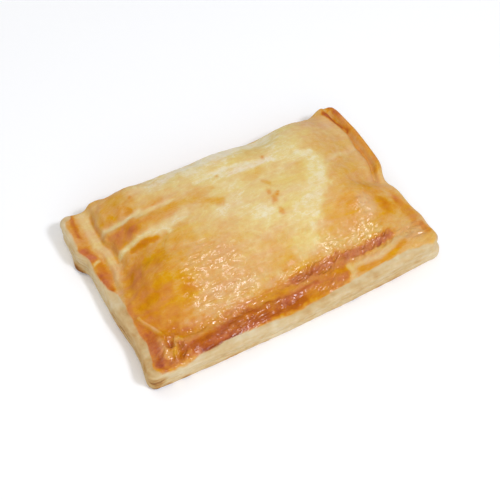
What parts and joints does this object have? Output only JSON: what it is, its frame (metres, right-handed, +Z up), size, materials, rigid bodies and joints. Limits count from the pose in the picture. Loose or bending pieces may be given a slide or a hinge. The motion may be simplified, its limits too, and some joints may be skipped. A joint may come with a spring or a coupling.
{
  "type": "meat pie",
  "caption": "Baked rectangular puff-pastry meat pie, uncut, with a domed glazed lid, sealed rims on three sides and a fold along the fourth.",
  "frame": {"origin": "centre of the pie's outline, on the flat base it rests on", "axes": "+X along the pie's long side, +Y towards the folded long edge, +Z up through the domed lid"},
  "size_m": [0.1508, 0.0946, 0.0292],
  "materials": {
    "crust": "egg-washed, baked golden brown, semi-gloss on the lid and dry on the pale cut sides"
  },
  "bodies": {
    "root": {"pastry": "crust"}
  },
  "joints": []
}
